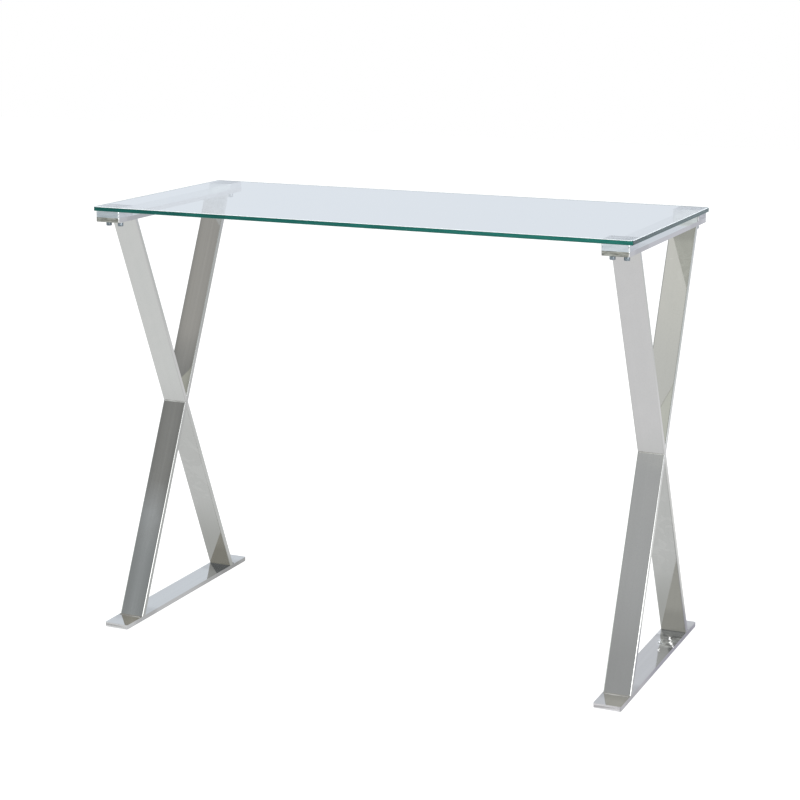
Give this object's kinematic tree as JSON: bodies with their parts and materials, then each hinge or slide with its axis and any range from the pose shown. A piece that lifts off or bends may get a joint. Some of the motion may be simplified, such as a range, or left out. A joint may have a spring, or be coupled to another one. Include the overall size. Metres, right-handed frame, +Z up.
{
  "type": "manicure table",
  "caption": "Rectangular clear glass manicure table on two polished steel X-frames, one at each end, with flat floor plates and bonded pads bolted under the glass.",
  "frame": {"origin": "centre of the footprint on the floor", "axes": "+Z up, +X along the long side of the top, -Y is the sitter's side (front)"},
  "size_m": [1, 0.45, 0.78],
  "materials": {
    "glass": "clear tempered float glass, polished teal-green edges",
    "bond": "clear UV-cured adhesive",
    "pad_steel": "polished stainless steel, slightly cooler than the frames",
    "frame_steel": "mirror-polished stainless steel with faint polishing marks",
    "fastener": "dark zinc-plated steel, satin",
    "floor_pad": "matte black self-adhesive rubber"
  },
  "bodies": {
    "root": {"glass_top": "glass", "bond_film_left_front": "bond", "bond_film_left_rear": "bond", "bond_film_right_front": "bond", "bond_film_right_rear": "bond", "glass_pad_left_front": "pad_steel", "glass_pad_left_rear": "pad_steel", "glass_pad_right_front": "pad_steel", "glass_pad_right_rear": "pad_steel", "top_plate_left": "frame_steel", "top_plate_right": "frame_steel", "long_leg_left": "frame_steel", "long_leg_right": "frame_steel", "upper_half_leg_left": "frame_steel", "upper_half_leg_right": "frame_steel", "lower_half_leg_left": "frame_steel", "lower_half_leg_right": "frame_steel", "floor_plate_left": "frame_steel", "floor_plate_right": "frame_steel", "cap_screws_left_front": "fastener", "cap_screws_left_rear": "fastener", "cap_screws_right_front": "fastener", "cap_screws_right_rear": "fastener", "spring_washers_left_front": "fastener", "spring_washers_left_rear": "fastener", "spring_washers_right_front": "fastener", "spring_washers_right_rear": "fastener", "flat_washers_left_front": "fastener", "flat_washers_left_rear": "fastener", "flat_washers_right_front": "fastener", "flat_washers_right_rear": "fastener", "floor_pad_left_front": "floor_pad", "floor_pad_left_rear": "floor_pad", "floor_pad_right_front": "floor_pad", "floor_pad_right_rear": "floor_pad"}
  },
  "joints": []
}
